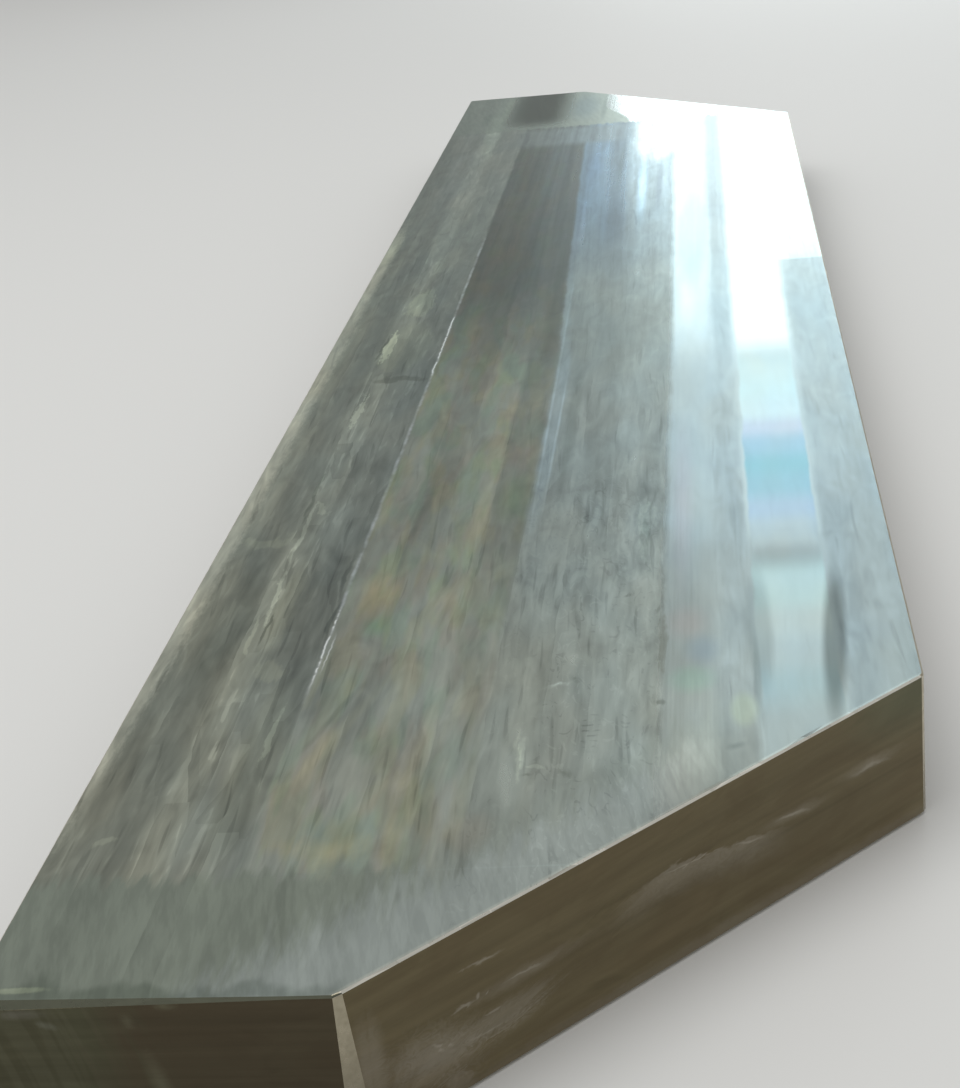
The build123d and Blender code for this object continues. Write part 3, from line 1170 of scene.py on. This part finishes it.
def tint(name, description, default):
    return FloatVectorProperty(name=name, description=description, default=default, subtype="COLOR")


class PlateShape(PropertyGroup):
    step_width: length("Step width", "Width of the steep step between two lanes", 2.0 * MM)
    near_band: length("Near band", "Length of the crosswise pass at the near end", 0.140)
    far_band: length("Far band", "Length of the crosswise pass at the far end", 0.370)
    rim_width: length("Rim width", "Width of the ring of uneven metal along the top edges", 3.0 * MM)
    slice_length: length(
        "Slice length", "Distance between the uneven places along the top edges", 18.0 * MM
    )
    waver: length("Waver", "How far the top edges move in and out altogether", 0.5 * MM)


class PlateFinish(PropertyGroup):
    # The side colours are dark and brown partly as a painted reflection of a dark floor
    side_steel_and_reflection: tint("Side steel", "Colour of the oily side faces", (0.160, 0.133, 0.078))
    side_shadow: tint(
        "Side shadow", "Colour of the side faces where the oil is thicker", (0.122, 0.099, 0.058)
    )
    edge_steel: tint("Edge steel", "Colour of bare steel on edges and scratches", (0.55, 0.50, 0.38))
    edge_shadow: tint("Edge shadow", "Colour of the duller places on edges", (0.36, 0.32, 0.23))
    filed_steel: tint(
        "Filed steel", "Colour of the oily bevel along the near end", (0.095, 0.098, 0.072)
    )


class PlateStage(PropertyGroup):
    floor_size: length("Floor size", "Side of the square floor", 300.0)
    floor_colour: tint("Floor colour", "Colour of the pale floor", (0.66, 0.66, 0.64))
    air_colour: tint("Air colour", "Colour of the light from all round", (1.0, 1.0, 1.0))
    low_light: FloatProperty(
        name="Low light",
        description="Strength of the light from all round at the horizon",
        default=0.25,
    )
    high_light: FloatProperty(
        name="High light",
        description="Strength of the light from all round overhead",
        default=0.9,
    )
    window_left: length("Window left", "Where the left side of the window is", -0.22)
    window_width: length("Window width", "Width of the window", 2.8)
    window_gap: length("Window gap", "How far beyond the plate's middle the window is", 6.0)
    window_colour: tint("Window colour", "Colour of the light from the window", (0.88, 0.97, 1.0))
    camera_place: FloatVectorProperty(
        name="Camera place",
        description="Where the camera stands",
        subtype="TRANSLATION",
        default=(0.1808, -2.5428, 0.8322),
    )
    camera_turn: FloatVectorProperty(
        name="Camera turn",
        description="How the camera is turned",
        subtype="EULER",
        default=(math.radians(67.42), math.radians(5.74), math.radians(5.71)),
    )
    lens: FloatProperty(
        name="Lens",
        description="Focal length on a sensor 36 mm wide",
        default=73.14,
        subtype="DISTANCE_CAMERA",
    )


# Operators


class PLATE_OT_plate(Operator):
    """Model the milled plate and give it its finishes"""

    bl_idname = "plate.plate"
    bl_label = "Plate"

    def execute(self, context):
        piece = copy_of_plate()
        sink_lanes(piece)
        roughen_edges(piece)
        spread_on_sheet(piece)
        give_finishes(piece)
        bpy.ops.object.mode_set(mode="OBJECT")
        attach(piece, "root")
        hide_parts("plate")
        return {"FINISHED"}


class PLATE_OT_stage(Operator):
    """Set up the floor, the lamps and the camera"""

    bl_idname = "plate.stage"
    bl_label = "Stage"

    def execute(self, context):
        make_floor()
        make_air()
        make_lamps()
        make_camera()
        return {"FINISHED"}


class PLATE_PT_panel(Panel):
    """Lists the plate's operators and settings"""

    bl_idname = "PLATE_PT_panel"
    bl_label = "Milled steel plate"
    bl_space_type = "VIEW_3D"
    bl_region_type = "UI"
    bl_category = "Plate"

    def draw(self, context):
        for operator in (PLATE_OT_plate, PLATE_OT_stage):
            self.layout.operator(operator.bl_idname)
        for group in GROUPS:
            settings = getattr(context.scene, group)
            for name in settings.__annotations__:
                self.layout.prop(settings, name)


GROUPS = {"plate_shape": PlateShape, "plate_finish": PlateFinish, "plate_stage": PlateStage}
CLASSES = (*GROUPS.values(), PLATE_OT_plate, PLATE_OT_stage, PLATE_PT_panel)


def register():
    for cls in CLASSES:
        bpy.utils.register_class(cls)
    for name, group in GROUPS.items():
        setattr(bpy.types.Scene, name, PointerProperty(type=group))


def unregister():
    for name in GROUPS:
        delattr(bpy.types.Scene, name)
    for cls in reversed(CLASSES):
        bpy.utils.unregister_class(cls)


def main():
    register()
    bpy.context.scene.view_settings.view_transform = "Standard"
    bpy.ops.plate.plate()
    bpy.ops.plate.stage()


if __name__ == "__main__":
    main()
